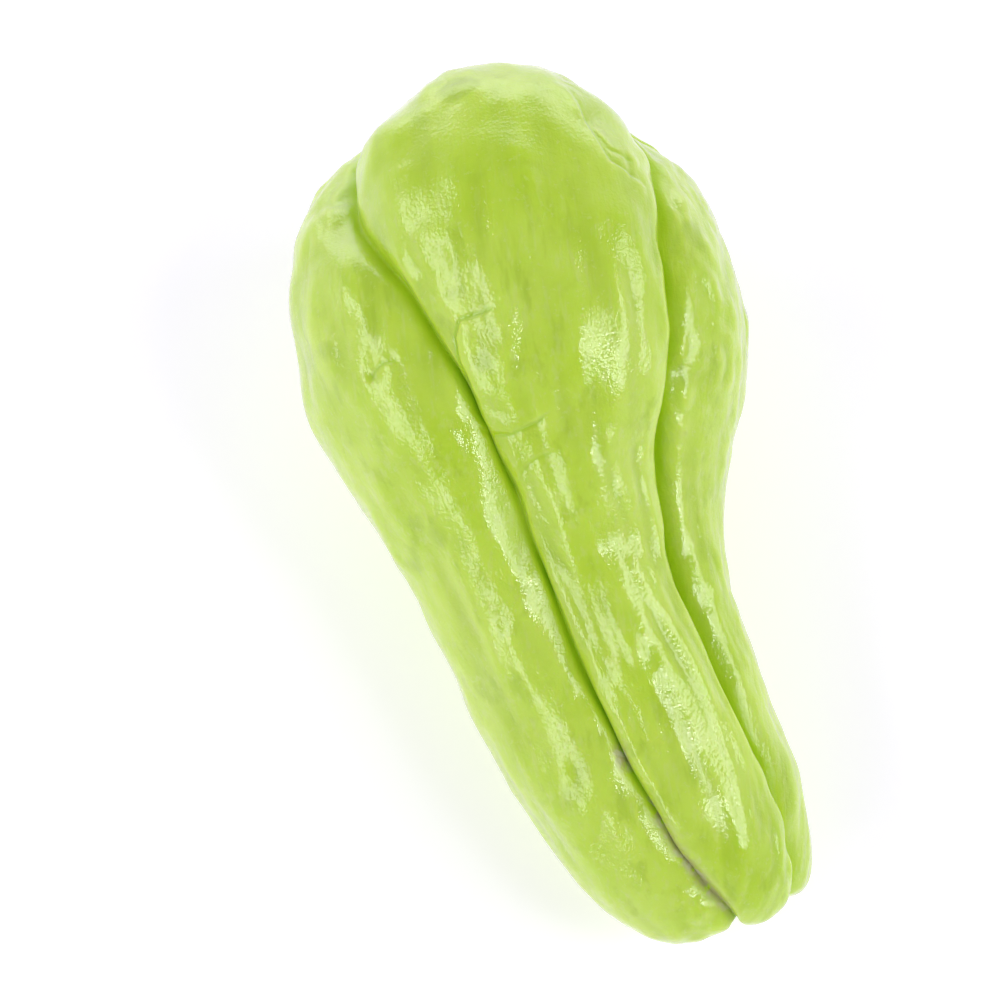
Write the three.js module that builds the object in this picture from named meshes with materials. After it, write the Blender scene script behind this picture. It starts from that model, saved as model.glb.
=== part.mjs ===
// A chayote squash, whole and as picked, lying on its side.
//
// The fruit grew as one piece, so it is one solid. Five lobes run its whole length and meet in five
// furrows. At the stem end the lobes round over into a small dimple. At the blossom end they curl into
// a deep cleft, and the lobes above and below the cleft reach out further than those beside it.
//
// Millimetres and degrees. The stem end points along -Y, the blossom end along +Y, and +Z is up. The
// origin is on the surface that the fruit lies on, under the middle of its bounding box.
//
// The skin is a sphere's grid with every point moved. A column of the grid runs from the stem pole to
// the blossom pole, and a ring runs round the fruit. The columns follow the furrows.
import * as THREE from "three";
import { mergeVertices } from "three/addons/utils/BufferGeometryUtils.js";

const LENGTH = 161;
const COLUMNS_PER_LOBE = 18;
const RINGS = 54;
const EVENNESS = 0.55; // 0 spaces the rings by the rails' points, 1 evenly along the skin

// Two rails give the outline of the straight fruit: one along the top of a lobe, one along the bottom
// of a furrow. Each point is [distance along the spine, distance out from it].
const STEM_POLE = [4.5, 0];
const BLOSSOM_POLE = [143, 0];
const crestRail = curve([
  STEM_POLE, [1, 4], [0, 9], [2, 15], [9, 20], [24, 24.5], [46, 27.3],
  [64, 29.3], [80, 34.8], [94, 41], [109, 44], [126, 43], [140, 38.5], [151, 31],
  [157.5, 22], [158.5, 12], [154, 4], BLOSSOM_POLE,
]);
const furrowRail = curve([
  STEM_POLE, [3.2, 3], [3, 7.5], [4.8, 13], [11.3, 18], [25.5, 21.3], [46, 22.8],
  [64, 24.3], [80, 29.3], [94, 35], [108, 38.5], [123, 37.5], [136, 33.5], [145, 27],
  [149, 19], [149.5, 11.5], [147.5, 4.5], BLOSSOM_POLE,
]);

// The lobes, anticlockwise as seen from the stem end. A bearing is 0 towards +X and 90 straight up.
// furrow: bearings of the furrow on the lobe's clockwise side, in equal steps along the rails.
// depth: how deep that furrow is, as a share of the rail's. swell: how far the lobe's crest stands
// out, as a share. reach: how much further than the rail it runs at the blossom end. nose: the same
// at the stem end.
const lobes = [
  { furrow: [-30, -25, -14, -3, 0, 1, -4, -8, -8], depth: 0.6, swell: -0.02, reach: -8, nose: 5 },
  { furrow: [29, 32, 41, 50, 53, 49, 30, 20, 18], depth: 1, swell: 0, reach: 3, nose: 8.5 },
  { furrow: [75, 84, 104, 108, 109, 124, 155, 171, 175], depth: 1, swell: 0.07, reach: -3, nose: 5 },
  { furrow: [160, 168, 184, 190, 184, 180, 184, 190, 190], depth: 0.6, swell: 0.04, reach: -2, nose: 0 },
  { furrow: [245, 250, 260, 270, 270, 270, 270, 270, 270], depth: 1, swell: 0.05, reach: -2, nose: 0 },
];

// The spine, seen from above: each point is [X, Y].
const spine = curve([[24, 3], [12.6, 32], [4.8, 60], [1, 86], [-1, 120], [-5, 162]]);

const FLATNESS = 0.86; // height over width

// The fruit lies on its neck and its two lower lobes, so the blossom half is propped up.
const RESTING_PITCH = 11.1;

const flesh = new THREE.MeshStandardMaterial({ color: 0xb2d155, roughness: 0.35, metalness: 0 });

function curve(points) {
  return new THREE.SplineCurve(points.map(([first, second]) => new THREE.Vector2(first, second)));
}

// The bearing and the depth of a furrow. The one after the last lobe's is the first, a turn later.
function furrowAt(index, along) {
  const turns = Math.floor(index / lobes.length);
  const { furrow, depth } = lobes[index % lobes.length];
  const bearings = curve(furrow.map((bearing) => [bearing, 0]));
  return { bearing: bearings.getPoint(along).x + 360 * turns, depth };
}

// A furrow's nose is halfway between those of the lobes beside it.
function noseAt(furrowIndex) {
  const after = lobes[furrowIndex % lobes.length];
  const before = lobes[(furrowIndex + lobes.length - 1) % lobes.length];
  return (before.nose + after.nose) / 2;
}

// A point of the straight fruit. across is 0 at a lobe's clockwise furrow and 1 at the next furrow.
function skinPoint(lobeIndex, across, along) {
  const lobe = lobes[lobeIndex];
  const crest = crestRail.getPoint(along);
  const floor = furrowRail.getPoint(along);
  const near = furrowAt(lobeIndex, along);
  const far = furrowAt(lobeIndex + 1, along);

  const angle = (across - 0.5) * Math.PI;
  const side = (1 + Math.sin(angle)) / 2;
  const depth = THREE.MathUtils.lerp(near.depth, far.depth, side);
  floor.lerp(crest, 1 - depth);

  const blossomHalf = THREE.MathUtils.smoothstep(crest.x, 90, LENGTH);
  const stemHalf = THREE.MathUtils.smoothstep(60 - crest.x, 0, 60);
  const awayFromPole = THREE.MathUtils.smoothstep(crest.y, 0, 14);
  const furrowNose = THREE.MathUtils.lerp(noseAt(lobeIndex), noseAt(lobeIndex + 1), side);
  crest.x += awayFromPole * (lobe.reach * blossomHalf - lobe.nose * stemHalf);
  floor.x -= awayFromPole * furrowNose * stemHalf;
  crest.y *= 1 + lobe.swell;

  const point = floor.lerp(crest, Math.cos(angle));
  const turn = THREE.MathUtils.degToRad(THREE.MathUtils.lerp(near.bearing, far.bearing, side));
  return new THREE.Vector3(point.y * Math.cos(turn), point.x, point.y * Math.sin(turn) * FLATNESS);
}

// Lays a point of the straight fruit along the spine, which runs on straight past both its ends.
function bend(point) {
  const reached = THREE.MathUtils.clamp(point.y, 0, LENGTH);
  const centre = spine.getPointAt(reached / LENGTH);
  const tangent = spine.getTangentAt(reached / LENGTH);
  centre.addScaledVector(tangent, point.y - reached);
  point.set(centre.x + point.x * tangent.y, centre.y - point.x * tangent.x, point.z);
}

function fruitGeometry() {
  const columns = COLUMNS_PER_LOBE * lobes.length;
  const geometry = new THREE.SphereGeometry(1, columns, RINGS);
  const position = geometry.getAttribute("position");
  for (let i = 0; i < position.count; i++) {
    const column = (i % (columns + 1)) % columns;
    const ring = Math.floor(i / (columns + 1)) / RINGS;
    const along = THREE.MathUtils.lerp(ring, crestRail.getUtoTmapping(ring), EVENNESS);
    const lobeIndex = Math.floor(column / COLUMNS_PER_LOBE);
    const across = (column % COLUMNS_PER_LOBE) / COLUMNS_PER_LOBE;
    const point = skinPoint(lobeIndex, across, along);
    bend(point);
    position.setXYZ(i, point.x, point.y, point.z);
  }
  geometry.deleteAttribute("normal");
  geometry.deleteAttribute("uv");
  return mergeVertices(geometry, 1e-4);
}

// Turns the fruit to the way it comes to rest, and sets it down on the origin.
function layDown(geometry) {
  geometry.rotateX(THREE.MathUtils.degToRad(RESTING_PITCH));
  geometry.computeBoundingBox();
  const middle = geometry.boundingBox.getCenter(new THREE.Vector3());
  return geometry.translate(-middle.x, -middle.y, -geometry.boundingBox.min.z);
}

const chayote = new THREE.Mesh(layDown(fruitGeometry()), flesh);
chayote.name = "chayote";

const fruit = new THREE.Group();
fruit.add(chayote);

export default fruit;
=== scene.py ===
"""A chayote squash with its real skin, built round the CAD fruit.

The skin starts as the CAD node's own mesh. It is smoothed, then shaped with the swellings, ridges,
crumples, creases and scars that the CAD solid leaves out. Metres, in the CAD frame.
"""

import math

import bmesh
import bpy
import numpy as np
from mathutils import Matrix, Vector, noise
from mathutils.kdtree import KDTree

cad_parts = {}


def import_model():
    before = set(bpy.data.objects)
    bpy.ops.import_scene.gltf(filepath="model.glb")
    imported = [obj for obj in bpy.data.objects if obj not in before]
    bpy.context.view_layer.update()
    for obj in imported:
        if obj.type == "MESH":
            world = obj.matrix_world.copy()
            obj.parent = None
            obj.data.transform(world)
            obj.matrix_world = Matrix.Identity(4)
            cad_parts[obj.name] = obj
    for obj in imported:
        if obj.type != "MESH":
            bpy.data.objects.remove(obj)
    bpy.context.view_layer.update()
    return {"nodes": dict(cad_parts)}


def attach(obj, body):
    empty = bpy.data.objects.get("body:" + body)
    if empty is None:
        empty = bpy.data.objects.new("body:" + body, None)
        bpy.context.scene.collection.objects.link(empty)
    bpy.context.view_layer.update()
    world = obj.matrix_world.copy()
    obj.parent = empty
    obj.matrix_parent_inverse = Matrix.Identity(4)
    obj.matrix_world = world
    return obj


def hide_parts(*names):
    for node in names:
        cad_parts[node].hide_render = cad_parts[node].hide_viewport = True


MM = 0.001
WELD_DISTANCE = 1e-6  # metres
SMOOTHING_LEVELS = 2
QUAD_FACE_ANGLE = math.radians(60)  # how far two triangles may differ and still make a quad
QUAD_SHAPE_ANGLE = math.radians(80)
FURROW_ANGLE = math.radians(24)  # a sharper valley in the CAD mesh than this is a furrow
FURROW_STEPS = 4  # points taken along each edge of a furrow
FURROW_ROUNDS = 18  # rounds of averaging that open the bottom of each furrow
FURROW_SHARE = 0.6  # how far a point at the bottom moves in each round
FURROW_REACH = 2  # only points about this near a furrow move, in millimetres

# Noise that moves the skin: (size, distance), in millimetres. A size of three numbers is X, Y and Z.
DRIFT = (13, 0.7)
WAVER = (5.5, 0.8)
WAVER_REACH = 4  # the waver stays this near a furrow
SWELLINGS = [(17, 0.6, 4), ((8, 12, 8), 0.5, 5), ((3.4, 5.5, 3.4), 0.22, 11)]  # the third is a seed
CRUMPLE = ((4.4, 6.6, 4.4), 1.3)
CRUMPLE_FLOOR = 0.07  # rounds the valleys between the crumples
CRUMPLE_LEVEL = 0.2  # the strength of noise that leaves the skin where it is
CRUMPLE_PATCH = 15  # the size of a crumpled patch
CRUMPLE_EDGE = (-0.1, 0.3)  # the noise at a patch's edge, and where the patch is at full strength
RIDGE = (6.5, 21)  # steps of noise to a radian round the fruit, and millimetres to a step along it
RIDGE_DRIFT = 0.25  # how far the drift shifts the ridges' noise
RIDGE_HEIGHT = 0.5
FINE_RIDGE = (2.1, 1.9, 2.1)  # how many times closer the fine ridges are
FINE_RIDGE_HEIGHT = 0.18

# Where things fade in, from the first number to the second. Each is a place along X or Y, a height or a
# distance from the furrow, in millimetres, or how far up the skin faces: 1 is straight up.
UPPER_FACING = (0, 0.5)
DOME_FACING = (-0.2, 0.6)
KNOB_FACING = (-0.3, 0.1)
DOME_Y = (32, 60)
OFF_FLOOR = (2, 14)
BANK_HEIGHT = (0, 8)  # above the fruit's middle line
BANK_END_Y = (25, 50)  # here the banks fade out
RIGHT_LOBE_X = (20, 27)
RIGHT_LOBE_Y = (-10, 15)
CRUMPLE_GAP = (0.3, 3)
RIDGE_GAP = (0.5, 5)
RIDGE_START_Y = (-82, -62)

# Strengths, as a share of the full one.
PATCH_CRUMPLE = 0.65
RIGHT_LOBE_CRUMPLE = 0.8
UNDERSIDE_CRUMPLE = 0.4
UNDERSIDE_RIDGE = 0.35
DOME_RIDGE = 0.25

# All of these are seen from above, in millimetres.
# The middle of the top lobe, from the stem end to the blossom end. Its neighbours lie lower.
TOP_LOBE = [(26, -76), (18, -60), (9, -30), (5, 0), (3, 30), (0, 60), (-2, 80)]
BANK_DROP = 0.9  # how far they dip next to the furrow
BANK_WIDTH = 3.6

# Creases: (depth, half width, lift, points). The skin left of a crease, going along it, is lifted.
CREASES = [
    (0.55, 0.45, 0.6, [(-5, 26), (-9, 25), (-13, 24.7), (-14.5, 22), (-14, 18), (-12, 13), (-9.5, 6.5)]),
    (0.38, 0.42, 0.35, [(-13, 8), (-9.5, 6), (-6.7, 5), (-2, 5.6), (1, 7)]),
    (0.2, 0.45, 0.1, [(-6, -2), (-4.5, -0.8), (-2, 0.4), (2, 0.7)]),
    (0.32, 0.5, -0.35, [(-30, 18), (-29, 19.4), (-27.5, 20.4), (-24, 20)]),
    (0.3, 0.5, -0.4, [(12, 71), (14, 66), (15.5, 61), (16.5, 57), (18, 53), (21, 51), (25, 48)]),
    (0.2, 0.5, 0.2, [(15, 62), (18, 56), (23, 53.5)]),
]
CREASE_ZONE = 1.8  # the skin is made finer this near a crease
CREASE_FACING = 0.2  # and only where it faces up more than this
CREASE_BANK = 4  # how far the lifted skin beside a crease runs
CREASE_FADE = 0.2  # the share of a crease over which each end fades out

# Broad lengthwise folds: (height, half width, points).
FOLD_FADE = 0.25
FOLDS = [
    (0.6, 2.2, [(-10, 42), (-6.5, 31), (-5, 24), (-5.5, 15), (-5.5, 7)]),
    (-0.55, 2.6, [(-1, 34), (-1, 24), (-2, 10), (1, -8)]),
    (0.5, 2.2, [(6, 30), (7, 18), (8, 6), (9, -8)]),
    (0.5, 2, [(14, 38), (15.5, 26), (15, 12), (14, -4)]),
    (0.5, 3.2, [(-36, 48), (-29, 27), (-22.5, 8), (-16, -14), (-4, -49)]),
    (0.35, 2.4, [(5, -10), (10, -30), (18, -52), (24, -66)]),
    (-0.35, 2.4, [(1, -10), (6, -30), (13, -52)]),
]

# Low knobs and dents: (x, y, radius, height).
BUMPS = [
    (-8, 75, 4, 0.35),
    (8, 73, 3.5, 0.4),
    (-16, 70, 5, -0.4),
    (18, 62, 4, -0.5),
    (28, 57, 2.5, 0.7),
    (-22, 66, 6, 0.5),
]

# Where the stem end is fuller than the CAD's: (centre, radius, move), each [x, y, z].
NUDGES = [
    ((36.5, -68.5, 24), (4, 10, 6), (-1.4, 0, 0)),
    ((42, -66, 13), (6, 10, 8), (1.6, 0, 0)),
    ((39.5, -73, 14), (6, 8, 8), (0.8, -2.4, 0)),
    ((32.5, -79, 22), (7, 8, 9), (-2.2, -0.2, 0)),
    ((26, -79, 22), (5, 5, 8), (0, -2.3, 0)),
]

# The dry line in the furrow at the stem end, and a dry spot above it.
SCAR = [(11, -62), (12, -64.5), (15, -69.5), (18, -73.7), (20.5, -77.5), (22, -80)]
SPOT = [(6.5, -50), (7, -51.5)]
SCAR_WIDTH = 3.5
SCAR_DEPTH = 1.4
SPOT_WIDTH = 1.2

# How strongly the shapes colour the skin: painted shade in the furrows, creases and ridge valleys, and
# the scar's own colour.
FURROW_TINT_WIDTH = 1.4  # the width of the painted shade and the thinner wax at a furrow, in millimetres on the top lobe's side, and twice that on the other
RIDGE_CONTRAST = 0.9
PINCH_CONTRAST = 3
SCAR_CONTRAST = 1.6


def fruit_mesh(source):
    """The CAD node's triangles joined into a grid of quads and smoothed."""
    mesh = source.data.copy()
    bm = bmesh.new()
    bm.from_mesh(mesh)
    bmesh.ops.remove_doubles(bm, verts=bm.verts, dist=WELD_DISTANCE)
    bmesh.ops.join_triangles(
        bm,
        faces=bm.faces,
        angle_face_threshold=QUAD_FACE_ANGLE,
        angle_shape_threshold=QUAD_SHAPE_ANGLE,
    )
    furrow = []
    for edge in bm.edges:
        if len(edge.link_faces) == 2 and edge.calc_face_angle_signed() < -FURROW_ANGLE:
            a, b = (v.co for v in edge.verts)
            furrow += [a.lerp(b, k / FURROW_STEPS) for k in range(FURROW_STEPS)]
    bm.to_mesh(mesh)
    bm.free()
    mesh.materials.clear()
    fruit = bpy.data.objects.new("fruit", mesh)
    bpy.context.scene.collection.objects.link(fruit)
    smooth = fruit.modifiers.new("smooth", "SUBSURF")
    smooth.levels = smooth.render_levels = SMOOTHING_LEVELS
    graph = bpy.context.evaluated_depsgraph_get()
    fruit.data = bpy.data.meshes.new_from_object(fruit.evaluated_get(graph))
    fruit.modifiers.clear()
    refine_creases(fruit.data)
    fruit.data.shade_smooth()
    return fruit, furrow


def refine_creases(mesh):
    """Splits the skin's quads finer along each crease."""
    bm = bmesh.new()
    bm.from_mesh(mesh)
    for zone in (CREASE_ZONE, CREASE_ZONE / 2):
        places = np.array([v.co for v in bm.verts]) / MM
        near = np.min([near_line(places, c[-1])[0] for c in CREASES], axis=0) < zone
        inside = [flag and v.normal.z > CREASE_FACING for flag, v in zip(near, bm.verts)]
        bm.verts.index_update()
        edges = [e for e in bm.edges if all(inside[v.index] for v in e.verts)]
        bmesh.ops.subdivide_edges(bm, edges=edges, cuts=1, use_grid_fill=True)
        bm.normal_update()
    bm.to_mesh(mesh)
    bm.free()


def read(mesh, name):
    values = np.zeros(len(mesh.vertices) * 3)
    getattr(mesh, name).foreach_get("co" if name == "vertices" else "vector", values)
    return values.reshape(-1, 3)


def smoothstep(x, low, high):
    t = np.clip((x - low) / (high - low), 0, 1)
    return t * t * (3 - 2 * t)


def hump(distance, width):
    """1 at no distance, and fading smoothly to nothing about twice the width away."""
    return np.exp(-((distance / width) ** 2))


def at_least(low, share):
    """A share from 0 to 1 turned into one from low to 1."""
    return low + (1 - low) * share


def end_fade(along, length):
    return smoothstep(along, 0, length) * smoothstep(1 - along, 0, length)


def wave(points, seed):
    """Smooth noise from -1 to 1 at each point, where 1 unit is the size of a swelling."""
    offset = Vector((seed * 17.3, seed * 5.1, seed * -9.7))
    return np.array([noise.noise(Vector(p) + offset) for p in points])


def near_line(points, line):
    """How far each point is from a line, seen from above, the side it is on, and how far along."""
    best = np.full(len(points), 1e9)
    side = np.zeros(len(points))
    along = np.zeros(len(points))
    for i, (a, b) in enumerate(zip(line, line[1:])):
        a, b = np.array(a, float), np.array(b, float)
        step = b - a
        offset = points[:, :2] - a
        share = np.clip(offset @ step / (step @ step), 0, 1)
        gap = np.linalg.norm(offset - share[:, None] * step, axis=1)
        nearer = gap < best
        best[nearer] = gap[nearer]
        side[nearer] = np.sign(step[0] * offset[:, 1] - step[1] * offset[:, 0])[nearer]
        along[nearer] = ((i + share) / (len(line) - 1))[nearer]
    return best, side, along


def store(mesh, name, values):
    layer = mesh.attributes.new(name, "FLOAT", "POINT")
    layer.data.foreach_set("value", values.astype(np.float32))


def beyond_furrow(points, furrow_points):
    """1 where a point is further than its nearest furrow from the top lobe's middle, or else 0."""
    across, along = np.array(TOP_LOBE, float).T
    reach = np.abs(points[:, 0] - np.interp(points[:, 1], along, across))
    limit = np.abs(furrow_points[:, 0] - np.interp(furrow_points[:, 1], along, across))
    return (reach > limit).astype(float)


def open_furrows(mesh, places, gap):
    """Averages points near a furrow with their neighbours, so that its bottom is round and wide."""
    ends = np.zeros(len(mesh.edges) * 2, int)
    mesh.edges.foreach_get("vertices", ends)
    a, b = ends.reshape(-1, 2).T
    count = np.bincount(ends, minlength=len(places))[:, None]
    share = FURROW_SHARE * hump(gap, FURROW_REACH)[:, None]
    for _ in range(FURROW_ROUNDS):
        total = np.zeros_like(places)
        np.add.at(total, a, places[b])
        np.add.at(total, b, places[a])
        places = places + share * (total / count - places)
    return places


class Skin:
    """The smooth skin's points, and where each one is on the fruit, in millimetres."""

    def __init__(self, mesh, furrow):
        self.rest = read(mesh, "vertices") / MM
        self.normal = read(mesh, "vertex_normals")
        x, y, z = self.rest.T
        self.middle_x = np.polyval(np.polyfit(y, x, 4), y)
        self.middle_z = np.polyval(np.polyfit(y, z, 3), y)

        tree = KDTree(len(furrow))
        for i, point in enumerate(furrow):
            tree.insert(point, i)
        tree.balance()
        found = [tree.find(Vector(p * MM)) for p in self.rest]
        nearest = np.array([f[1] for f in found])
        self.gap = np.array([f[2] for f in found]) / MM
        self.outer = beyond_furrow(self.rest, np.array(furrow)[nearest] / MM)

        facing = self.normal[:, 2]
        self.upper = smoothstep(facing, *UPPER_FACING)
        self.off_floor = smoothstep(z, *OFF_FLOOR)
        dome = smoothstep(y, *DOME_Y) * smoothstep(facing, *DOME_FACING)
        self.neck = 1 - (1 - DOME_RIDGE) * dome


def drift_about(skin):
    """Furrows and outline wander sideways."""
    size, distance = DRIFT
    drift = np.stack([wave(skin.rest / size, seed) for seed in (1, 2, 3)], axis=1)
    return drift * (distance * skin.off_floor)[:, None]


def waver_about(skin):
    """Furrows waver in smaller bends as well."""
    size, distance = WAVER
    waver = np.stack([wave(skin.rest / size, seed) for seed in (8, 9, 10)], axis=1)
    return waver * (distance * hump(skin.gap, WAVER_REACH) * skin.off_floor)[:, None]


def fill_stem_end(skin):
    fuller = np.zeros_like(skin.rest)
    for centre, radius, move in NUDGES:
        share = np.exp(-(((skin.rest - centre) / radius) ** 2).sum(axis=1))
        fuller += share[:, None] * move
    return fuller


def bank_drop(skin):
    """The lobes beside the top lobe dip towards it."""
    x, y, z = skin.rest.T
    outward = np.stack([x - skin.middle_x, 0 * x, z - skin.middle_z], axis=1)
    outward /= np.linalg.norm(outward, axis=1)[:, None]
    bank = skin.outer * hump(skin.gap, BANK_WIDTH) * smoothstep(z - skin.middle_z, *BANK_HEIGHT)
    bank *= 1 - smoothstep(y, *BANK_END_Y)
    return outward * (BANK_DROP * bank)[:, None]


def swellings(skin):
    return sum(height * wave(skin.rest / size, seed) for size, height, seed in SWELLINGS) * skin.off_floor


def crumples(skin):
    """Patches of small pillows with valleys between them, most of all on the right lobe."""
    x, y, _ = skin.rest.T
    size, height = CRUMPLE
    patches = PATCH_CRUMPLE * smoothstep(wave(skin.rest / CRUMPLE_PATCH, 13), *CRUMPLE_EDGE)
    right_lobe = RIGHT_LOBE_CRUMPLE * smoothstep(x, *RIGHT_LOBE_X) * smoothstep(y, *RIGHT_LOBE_Y)
    share = np.maximum(patches, right_lobe)
    share *= smoothstep(skin.gap, *CRUMPLE_GAP) * skin.off_floor * at_least(UNDERSIDE_CRUMPLE, skin.upper)
    pillows = np.hypot(wave(skin.rest / size, 12), CRUMPLE_FLOOR) - CRUMPLE_LEVEL
    return height * pillows * share


def lengthwise_ridges(skin, drift):
    """The ridges' height, and their noise, which also paints shade into the valleys between them. They
    are weaker on the dome.
    """
    x, y, z = skin.rest.T
    per_radian, length = RIDGE
    bearing = np.arctan2(z - skin.middle_z, x - skin.middle_x)
    around = np.stack([np.cos(bearing) * per_radian, y / length, np.sin(bearing) * per_radian], axis=1)
    ridge = wave(around + RIDGE_DRIFT * drift, 6)
    fine = wave(around * FINE_RIDGE, 7)
    share = skin.neck * smoothstep(skin.gap, *RIDGE_GAP) * smoothstep(y, *RIDGE_START_Y)
    share *= at_least(UNDERSIDE_RIDGE, skin.off_floor)
    return (RIDGE_HEIGHT * ridge + FINE_RIDGE_HEIGHT * fine) * share, ridge


def creases(skin):
    """How far the creases lift the skin beside them, and how deep they cut in."""
    lifted = np.zeros(len(skin.rest))
    pinch = np.zeros(len(skin.rest))
    for depth, width, lift, line in CREASES:
        near, side, along = near_line(skin.rest, line)
        fade = end_fade(along, CREASE_FADE) * skin.upper
        pinch += depth * fade * hump(near, width)
        step = 0.5 + 0.5 * np.tanh(near * side / width)
        lifted += lift * fade * step * hump(near, CREASE_BANK)
    return lifted, pinch


def folds(skin):
    height = np.zeros(len(skin.rest))
    for rise, width, line in FOLDS:
        near, _, along = near_line(skin.rest, line)
        height += rise * end_fade(along, FOLD_FADE) * skin.upper * hump(near, width)
    return height


def knobs(skin):
    x, y, _ = skin.rest.T
    height = np.zeros(len(skin.rest))
    for px, py, radius, rise in BUMPS:
        height += rise * hump(np.hypot(x - px, y - py), radius)
    return height * smoothstep(skin.normal[:, 2], *KNOB_FACING)


def fit_box(places, box):
    """Scales the points, by about 1% at most, so that they fill the box again."""
    low, high = box.min(axis=0), box.max(axis=0)
    return low + (places - places.min(axis=0)) * (high - low) / np.ptp(places, axis=0)


def shape_skin(fruit, furrow):
    """Moves the smooth skin's points, and stores what the colours need."""
    mesh = fruit.data
    skin = Skin(mesh, furrow)
    drift = drift_about(skin)
    ridges, ridge = lengthwise_ridges(skin, drift)
    lifted, pinch = creases(skin)
    out = swellings(skin) + crumples(skin) + ridges + lifted - pinch + folds(skin) + knobs(skin)

    moved = skin.rest + drift + waver_about(skin) + fill_stem_end(skin)
    moved += skin.normal * out[:, None] - bank_drop(skin)
    moved = fit_box(open_furrows(mesh, moved, skin.gap), skin.rest)
    mesh.vertices.foreach_set("co", (moved * MM).ravel())
    mesh.update()

    scar = hump(near_line(skin.rest, SCAR)[0], SCAR_WIDTH) * hump(skin.gap, SCAR_DEPTH)
    scar += hump(near_line(skin.rest, SPOT)[0], SPOT_WIDTH) * skin.upper
    # Masks for the colours: painted shade in the furrows (where the wax also thins), in the valleys
    # between the ridges and in the creases.
    store(mesh, "furrow", hump(skin.gap, FURROW_TINT_WIDTH * (1 + skin.outer)))
    store(mesh, "ridge", np.clip(0.5 + RIDGE_CONTRAST * ridge, 0, 1))
    store(mesh, "neck", skin.neck)
    store(mesh, "pinch", np.clip(PINCH_CONTRAST * pinch, 0, 1))
    store(mesh, "scar", np.clip(SCAR_CONTRAST * scar, 0, 1))


class Nodes:
    """Small helper for building a node tree."""

    def __init__(self, material):
        material.use_nodes = True
        self.tree = material.node_tree
        self.tree.nodes.clear()

    def add(self, kind, inputs=None, **settings):
        node = self.tree.nodes.new("ShaderNode" + kind)
        for name, value in settings.items():
            setattr(node, name, value)
        for name, value in (inputs or {}).items():
            socket = node.inputs[name]
            if isinstance(value, bpy.types.NodeSocket):
                self.tree.links.new(value, socket)
            else:
                socket.default_value = value
        return node

    def attribute(self, name):
        return self.add("Attribute", attribute_name=name).outputs["Fac"]

    def noise(self, vector, scale, detail=2.0, roughness=0.5, distortion=0.0):
        values = {"Vector": vector, "Scale": scale, "Detail": detail}
        values.update({"Roughness": roughness, "Distortion": distortion})
        return self.add("TexNoise", values).outputs["Fac"]

    def ramp(self, factor, low, high, from_value=0.0, to_value=1.0):
        values = {"Value": factor, "From Min": low, "From Max": high}
        values.update({"To Min": from_value, "To Max": to_value})
        return self.add("MapRange", values, interpolation_type="SMOOTHSTEP").outputs["Result"]

    def stretch(self, vector, scale):
        return self.add("Mapping", {"Vector": vector, "Scale": scale}).outputs["Vector"]

    def mix(self, factor, a, b):
        return self.add("Mix", {0: factor, 6: a, 7: b}, data_type="RGBA").outputs[2]

    def math(self, operation, *values):
        return self.add("Math", dict(enumerate(values)), operation=operation).outputs[0]

    def total(self, *parts):
        """The sum of (pattern, weight) pairs."""
        weighted = [self.math("MULTIPLY", pattern, weight) for pattern, weight in parts]
        height = weighted[0]
        for part in weighted[1:]:
            height = self.math("ADD", height, part)
        return height

    def bump(self, height, distance):
        values = {"Height": height, "Strength": 0.5, "Distance": distance}
        return self.add("Bump", values).outputs["Normal"]


GREEN = (0.495, 0.695, 0.028, 1)
PALE = (0.565, 0.75, 0.08, 1)
MILKY = (0.6, 0.73, 0.18, 1)
OLIVE = (0.34, 0.5, 0.012, 1)
# A darker, more saturated green, painted as shade into the furrows and creases.
PAINTED_GROOVE_SHADE = (0.44, 0.65, 0.008, 1)
DRY = (0.44, 0.46, 0.18, 1)
CHALK = (0.55, 0.57, 0.33, 1)

# What tints the skin, in order: (pattern, where it starts, where it is full, share, colour).
TINTS = [
    ("cloud", 0.35, 0.65, 1, PALE),
    ("blotch", 0.5, 0.7, 0.35, PALE),
    ("blotch", 0.48, 0.3, 0.18, OLIVE),
    ("streak", 0.5, 0.68, 0.45, PALE),
    ("streak", 0.46, 0.3, 0.4, OLIVE),
    ("dash", 0.52, 0.7, 0.4, MILKY),
    # painted shade: darker olive in the valleys between the ridges
    ("ridge", 0.55, 0.1, 0.22, OLIVE),
    ("freckle", 0.6, 0.72, 0.4, MILKY),
    ("stain", 0.66, 0.74, 0.5, OLIVE),
    # painted shade: the darker green along the furrows
    ("furrow", 0.1, 0.9, 0.9, PAINTED_GROOVE_SHADE),
]
NECK_ONLY = ("streak", "dash")  # these fade on the smooth dome
CREASE_SHADE_SHARE = 0.8

# The same for the scar, at its full share.
SCAR_TINTS = [("dry", 0.35, 0.5, DRY), ("chalk", 0.52, 0.6, CHALK)]


def skin_patterns(n, place):
    """Noise of many sizes. Its scales are per metre, and streaks and dashes run lengthwise."""
    along = n.stretch(place, (1, 0.16, 1))
    pucker = n.noise(n.stretch(place, (1, 0.35, 1)), 300, 1.5, 0.5, 0.5)
    wrinkle = n.ramp(n.math("ABSOLUTE", n.math("SUBTRACT", pucker, 0.5)), 0, 0.07)
    return {
        "cloud": n.noise(place, 45, 3),
        "stain": n.noise(place, 60, 2),
        "blotch": n.noise(place, 170, 3, 0.6),
        "streak": n.noise(along, 260, 3, 0.6),
        "dash": n.noise(along, 700, 2, 0.6),
        "pit": n.noise(place, 420, 3, 0.7),
        "freckle": n.noise(place, 900, 2, 0.6),
        "grain": n.noise(place, 1500, 2, 0.55),
        "dry": n.noise(place, 500, 2),
        "chalk": n.noise(place, 420, 1),
        "wrinkle": n.math("MULTIPLY", wrinkle, n.ramp(n.noise(place, 75, 1), 0.5, 0.65)),
        "ridge": n.attribute("ridge"),
        "furrow": n.attribute("furrow"),
    }


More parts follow.
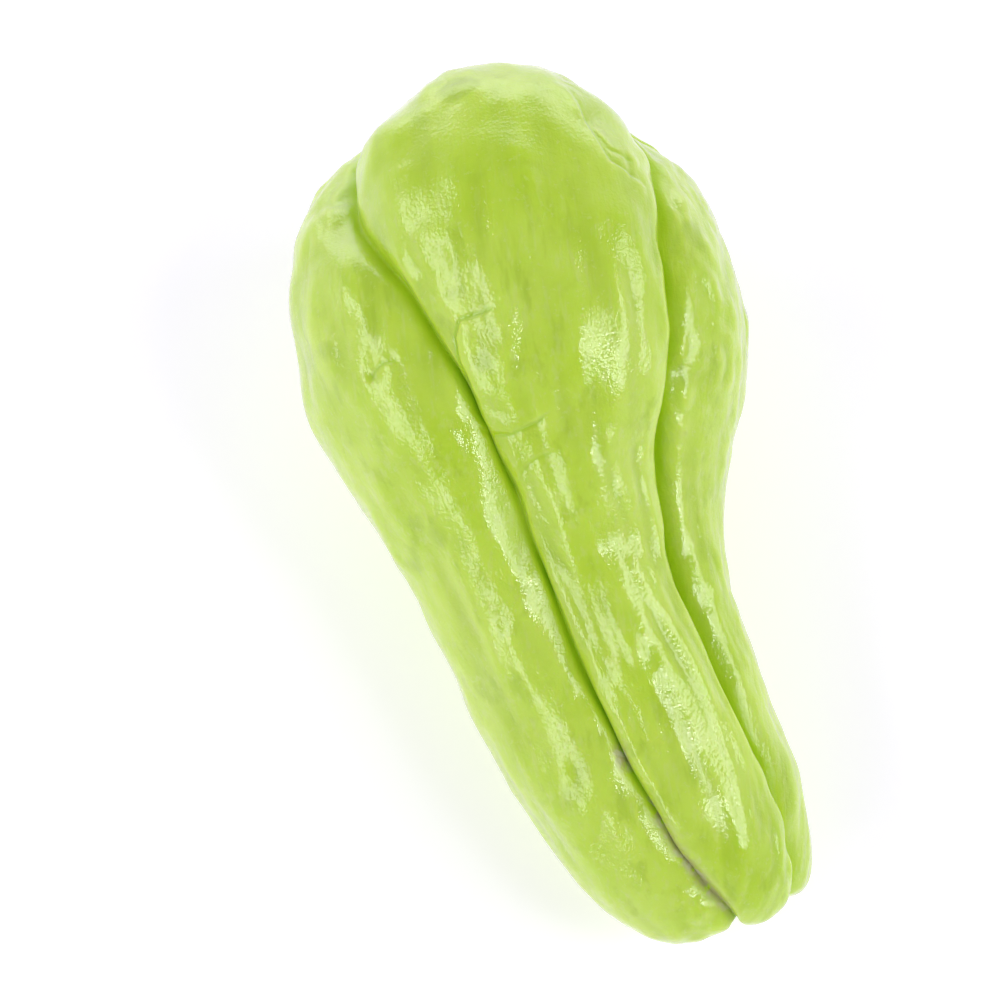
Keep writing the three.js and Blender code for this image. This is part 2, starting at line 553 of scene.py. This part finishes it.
def skin_color(n, patterns):
    color = GREEN
    neck = n.attribute("neck")
    for name, start, full, share, tint in TINTS:
        factor = n.ramp(patterns[name], start, full, 0, share)
        if name in NECK_ONLY:
            factor = n.math("MULTIPLY", neck, factor)
        color = n.mix(factor, color, tint)
    # painted shade: the darker green along the creases
    color = n.mix(n.math("MULTIPLY", n.attribute("pinch"), CREASE_SHADE_SHARE), color, PAINTED_GROOVE_SHADE)
    scar = n.attribute("scar")
    for name, start, full, tint in SCAR_TINTS:
        factor = n.math("MULTIPLY", scar, n.ramp(patterns[name], start, full))
        color = n.mix(factor, color, tint)
    return color


def skin_material():
    """Green flesh that glows a little, under a thin coat of wax that thins out in the furrows."""
    material = bpy.data.materials.new("waxy_skin")
    n = Nodes(material)
    place = n.add("TexCoord").outputs["Object"]
    p = skin_patterns(n, place)
    flesh_height = n.total((p["grain"], 0.25), (p["wrinkle"], 0.08), (p["streak"], 0.9))
    wax_height = n.total((p["grain"], 0.34), (p["wrinkle"], 0.1), (p["dash"], 0.25), (p["pit"], 0.5))
    surface = n.add(
        "BsdfPrincipled",
        {
            "Base Color": skin_color(n, p),
            "Roughness": n.ramp(n.noise(place, 120, 2), 0.3, 0.7, 0.34, 0.5),
            "IOR": 1.42,
            "Specular IOR Level": 0.2,
            "Subsurface Weight": 0.6,
            "Subsurface Radius": (0.7, 1.0, 0.18),
            "Subsurface Scale": 0.006,
            "Sheen Weight": 0.2,
            "Sheen Roughness": 0.35,
            "Coat Weight": n.ramp(p["furrow"], 0.15, 0.75, 1, 0.15),
            "Coat Roughness": 0.1,
            "Coat IOR": 1.66,
            "Normal": n.bump(flesh_height, 0.0006),
            "Coat Normal": n.bump(wax_height, 0.0005),
        },
    )
    output = n.add("OutputMaterial")
    n.tree.links.new(surface.outputs["BSDF"], output.inputs["Surface"])
    return material


FLOOR_SIZE = 6


def floor_material():
    material = bpy.data.materials.new("white_floor")
    n = Nodes(material)
    values = {"Base Color": (0.91, 0.88, 0.98, 1), "Roughness": 0.7, "Specular IOR Level": 0.2}
    values.update({"Emission Color": (0.96, 0.93, 1, 1), "Emission Strength": 0.33})
    surface = n.add("BsdfPrincipled", values)
    output = n.add("OutputMaterial")
    n.tree.links.new(surface.outputs["BSDF"], output.inputs["Surface"])
    return material


def make_floor():
    """A white table, lit from inside a little, so that shadows stay pale."""
    bpy.ops.mesh.primitive_plane_add(size=FLOOR_SIZE, location=(0, 0, 0))
    floor = bpy.context.object
    floor.name = "floor"
    floor.data.materials.append(floor_material())


CAMERA_AZIMUTH = math.radians(-7)
CAMERA_ELEVATION = math.radians(70)
CAMERA_DISTANCE = 0.446
CAMERA_AIM = (-0.0088, 0.003, 0.035)
CAMERA_LENS = 85  # millimetres, as is the sensor
CAMERA_SENSOR = 36


def make_camera():
    across = math.cos(CAMERA_ELEVATION)
    back = Vector((math.sin(CAMERA_AZIMUTH) * across, -math.cos(CAMERA_AZIMUTH) * across, 0))
    back.z = math.sin(CAMERA_ELEVATION)
    camera = bpy.data.objects.new("camera", bpy.data.cameras.new("camera"))
    bpy.context.scene.collection.objects.link(camera)
    camera.data.lens = CAMERA_LENS
    camera.data.sensor_width = CAMERA_SENSOR
    camera.data.clip_start = 0.01
    camera.location = Vector(CAMERA_AIM) + back * CAMERA_DISTANCE
    camera.rotation_mode = "QUATERNION"
    camera.rotation_quaternion = (-back).to_track_quat("-Z", "Y")
    bpy.context.scene.camera = camera


# Soft lights, all aimed at the fruit's middle: (name, direction, distance, size, power).
LIGHT_AIM = Vector((0, 0, 0.035))
LIGHTS = [
    ("left_softbox", (-0.76, -0.1, 0.66), 0.8, (1.2, 0.27), 3),
    ("right_softbox", (0.74, -0.14, 0.66), 0.8, (0.6, 0.3), 1.9),
    ("back_softbox", (0.1, 1, 0.22), 0.9, (1.2, 0.4), 2.1),
    ("front_softbox", (0.47, -0.32, 0.82), 0.9, (0.15, 0.15), 0.75),
]

# The white room's brightness level with the fruit and high overhead. The overhead part starts where
# the sine of the elevation is OVERHEAD_START.
ROOM_GLOW = 0.93
OVERHEAD_GLOW = 0.31
OVERHEAD_START = 0.7


def area_light(name, direction, distance, size, power):
    data = bpy.data.lights.new(name, "AREA")
    data.shape = "RECTANGLE"
    data.size, data.size_y = size
    data.energy = power
    light = bpy.data.objects.new(name, data)
    bpy.context.scene.collection.objects.link(light)
    light.location = LIGHT_AIM + Vector(direction).normalized() * distance
    light.rotation_mode = "QUATERNION"
    light.rotation_quaternion = (LIGHT_AIM - light.location).to_track_quat("-Z", "Y")


def make_light():
    """A white room, dim overhead, with soft lights round the fruit."""
    world = bpy.data.worlds.new("studio")
    bpy.context.scene.world = world
    world.use_nodes = True
    tree = world.node_tree
    place = tree.nodes.new("ShaderNodeTexCoord")
    split = tree.nodes.new("ShaderNodeSeparateXYZ")
    ramp = tree.nodes.new("ShaderNodeMapRange")
    ramp.interpolation_type = "SMOOTHSTEP"
    ramp.inputs["To Min"].default_value = ROOM_GLOW
    ramp.inputs["To Max"].default_value = OVERHEAD_GLOW
    ramp.inputs["From Max"].default_value = OVERHEAD_START
    backdrop = tree.nodes["Background"]
    backdrop.inputs["Color"].default_value = (0.97, 0.985, 1, 1)
    tree.links.new(place.outputs["Generated"], split.inputs[0])
    tree.links.new(split.outputs["Z"], ramp.inputs["Value"])
    tree.links.new(ramp.outputs["Result"], backdrop.inputs["Strength"])
    for light in LIGHTS:
        area_light(*light)


def main():
    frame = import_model()
    fruit, furrow = fruit_mesh(frame["nodes"]["chayote"])
    shape_skin(fruit, furrow)
    fruit.data.materials.append(skin_material())
    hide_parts("chayote")
    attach(fruit, "root")
    make_floor()
    make_camera()
    make_light()
    bpy.context.scene.view_settings.view_transform = "Standard"


main()
